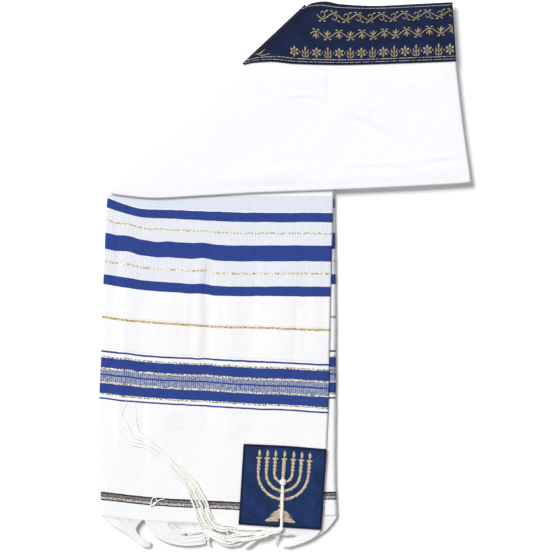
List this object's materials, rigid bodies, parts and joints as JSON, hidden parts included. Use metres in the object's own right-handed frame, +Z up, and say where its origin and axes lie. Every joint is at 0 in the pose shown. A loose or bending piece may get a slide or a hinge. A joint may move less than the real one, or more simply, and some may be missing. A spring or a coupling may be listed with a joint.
{
  "type": "tallit prayer shawl",
  "caption": "Flat folded prayer shawl with a satin neckband, a corner patch, knotted corner fringe and twisted hem fringe, lying on a surface.",
  "frame": {"origin": "middle of the folded shawl's box, on the surface that it lies on", "axes": "+X to the right of the page, +Y up the page towards the neckband, +Z up off the surface"},
  "size_m": [0.4803, 0.7102, 0.0126],
  "materials": {
    "white_cloth": "matt woven white cloth with blue and gold stripes",
    "hidden_cloth": "matt woven white cloth",
    "navy_satin": "navy satin with gold embroidery",
    "fringe_yarn": "soft twisted white yarn",
    "ivory_cord": "ivory wool cord"
  },
  "bodies": {
    "root": {"hidden_layers": "hidden_cloth", "lower_panel": "white_cloth", "upper_panel": "white_cloth", "neckband": "navy_satin", "corner_patch": "navy_satin", "front_fringe": "fringe_yarn", "back_fringe": "fringe_yarn", "corner_fringe": "ivory_cord"}
  },
  "joints": []
}
